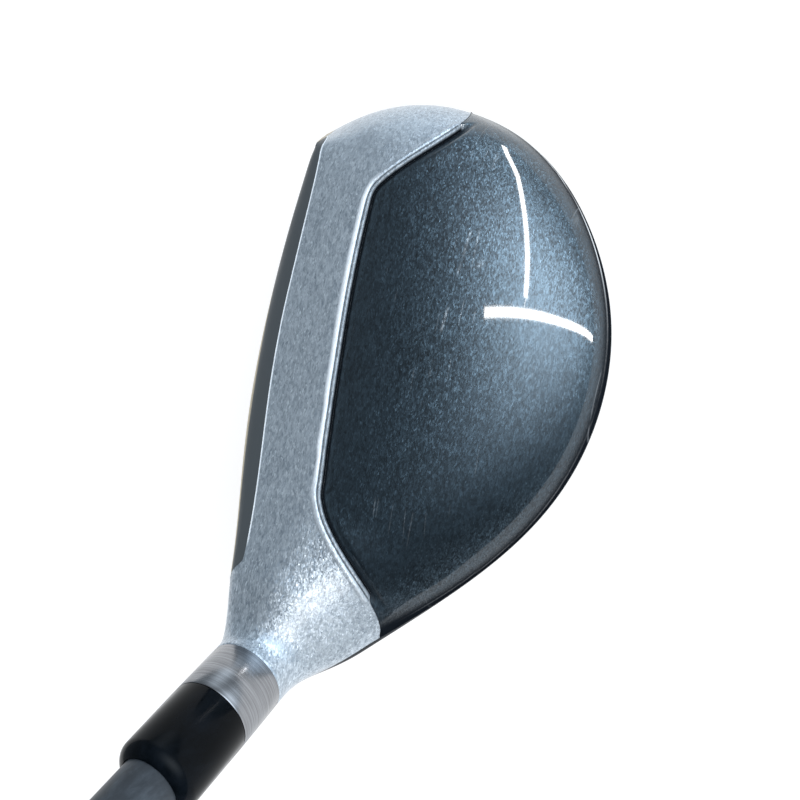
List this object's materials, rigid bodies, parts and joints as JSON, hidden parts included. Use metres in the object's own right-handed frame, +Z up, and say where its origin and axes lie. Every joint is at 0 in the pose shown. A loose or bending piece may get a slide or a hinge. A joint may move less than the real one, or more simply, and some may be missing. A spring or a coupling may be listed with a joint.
{
  "type": "hybrid golf club",
  "caption": "Right-handed hybrid golf club: two-tone rounded hollow head, bare hosel band, glossy ferrule, slim shaft and rubber grip.",
  "frame": {"origin": "centre of the flat sole plate on the underside of the head, on the ground", "axes": "+X from toe to heel, -Y towards the target that the face looks at, +Z up; the shaft leans to +X at its lie angle"},
  "size_m": [0.6071, 0.0671, 0.8974],
  "materials": {
    "silver_paint": "fine silver metal flake under clear gloss",
    "dark_paint": "dark blue-grey metal flake under clear gloss",
    "sole_paint": "dark satin paint",
    "face_steel": "fine-blasted steel, slightly warm",
    "plate_steel": "brushed along the sole",
    "band_steel": "turned and polished",
    "ledge_metal": "plain",
    "weight_metal": "as cast",
    "ferrule_plastic": "polished black",
    "shaft_lacquer": "satin slate-grey lacquer over carbon fibre",
    "pin_brass": "turned",
    "tape": "matt",
    "grip_rubber": "matt, patterned"
  },
  "bodies": {
    "root": {"sole_shell": "sole_paint", "sole_plate": "plate_steel", "rear_weight": "weight_metal", "face_cup": "face_steel", "crown_front": "silver_paint", "crown_ledge": "ledge_metal", "crown_panel": "dark_paint", "hosel_tube": "band_steel", "ferrule": "ferrule_plastic", "shaft": "shaft_lacquer", "tip_pin": "pin_brass", "grip_tape": "tape", "grip_sleeve": "grip_rubber", "grip_cap": "grip_rubber"}
  },
  "joints": []
}
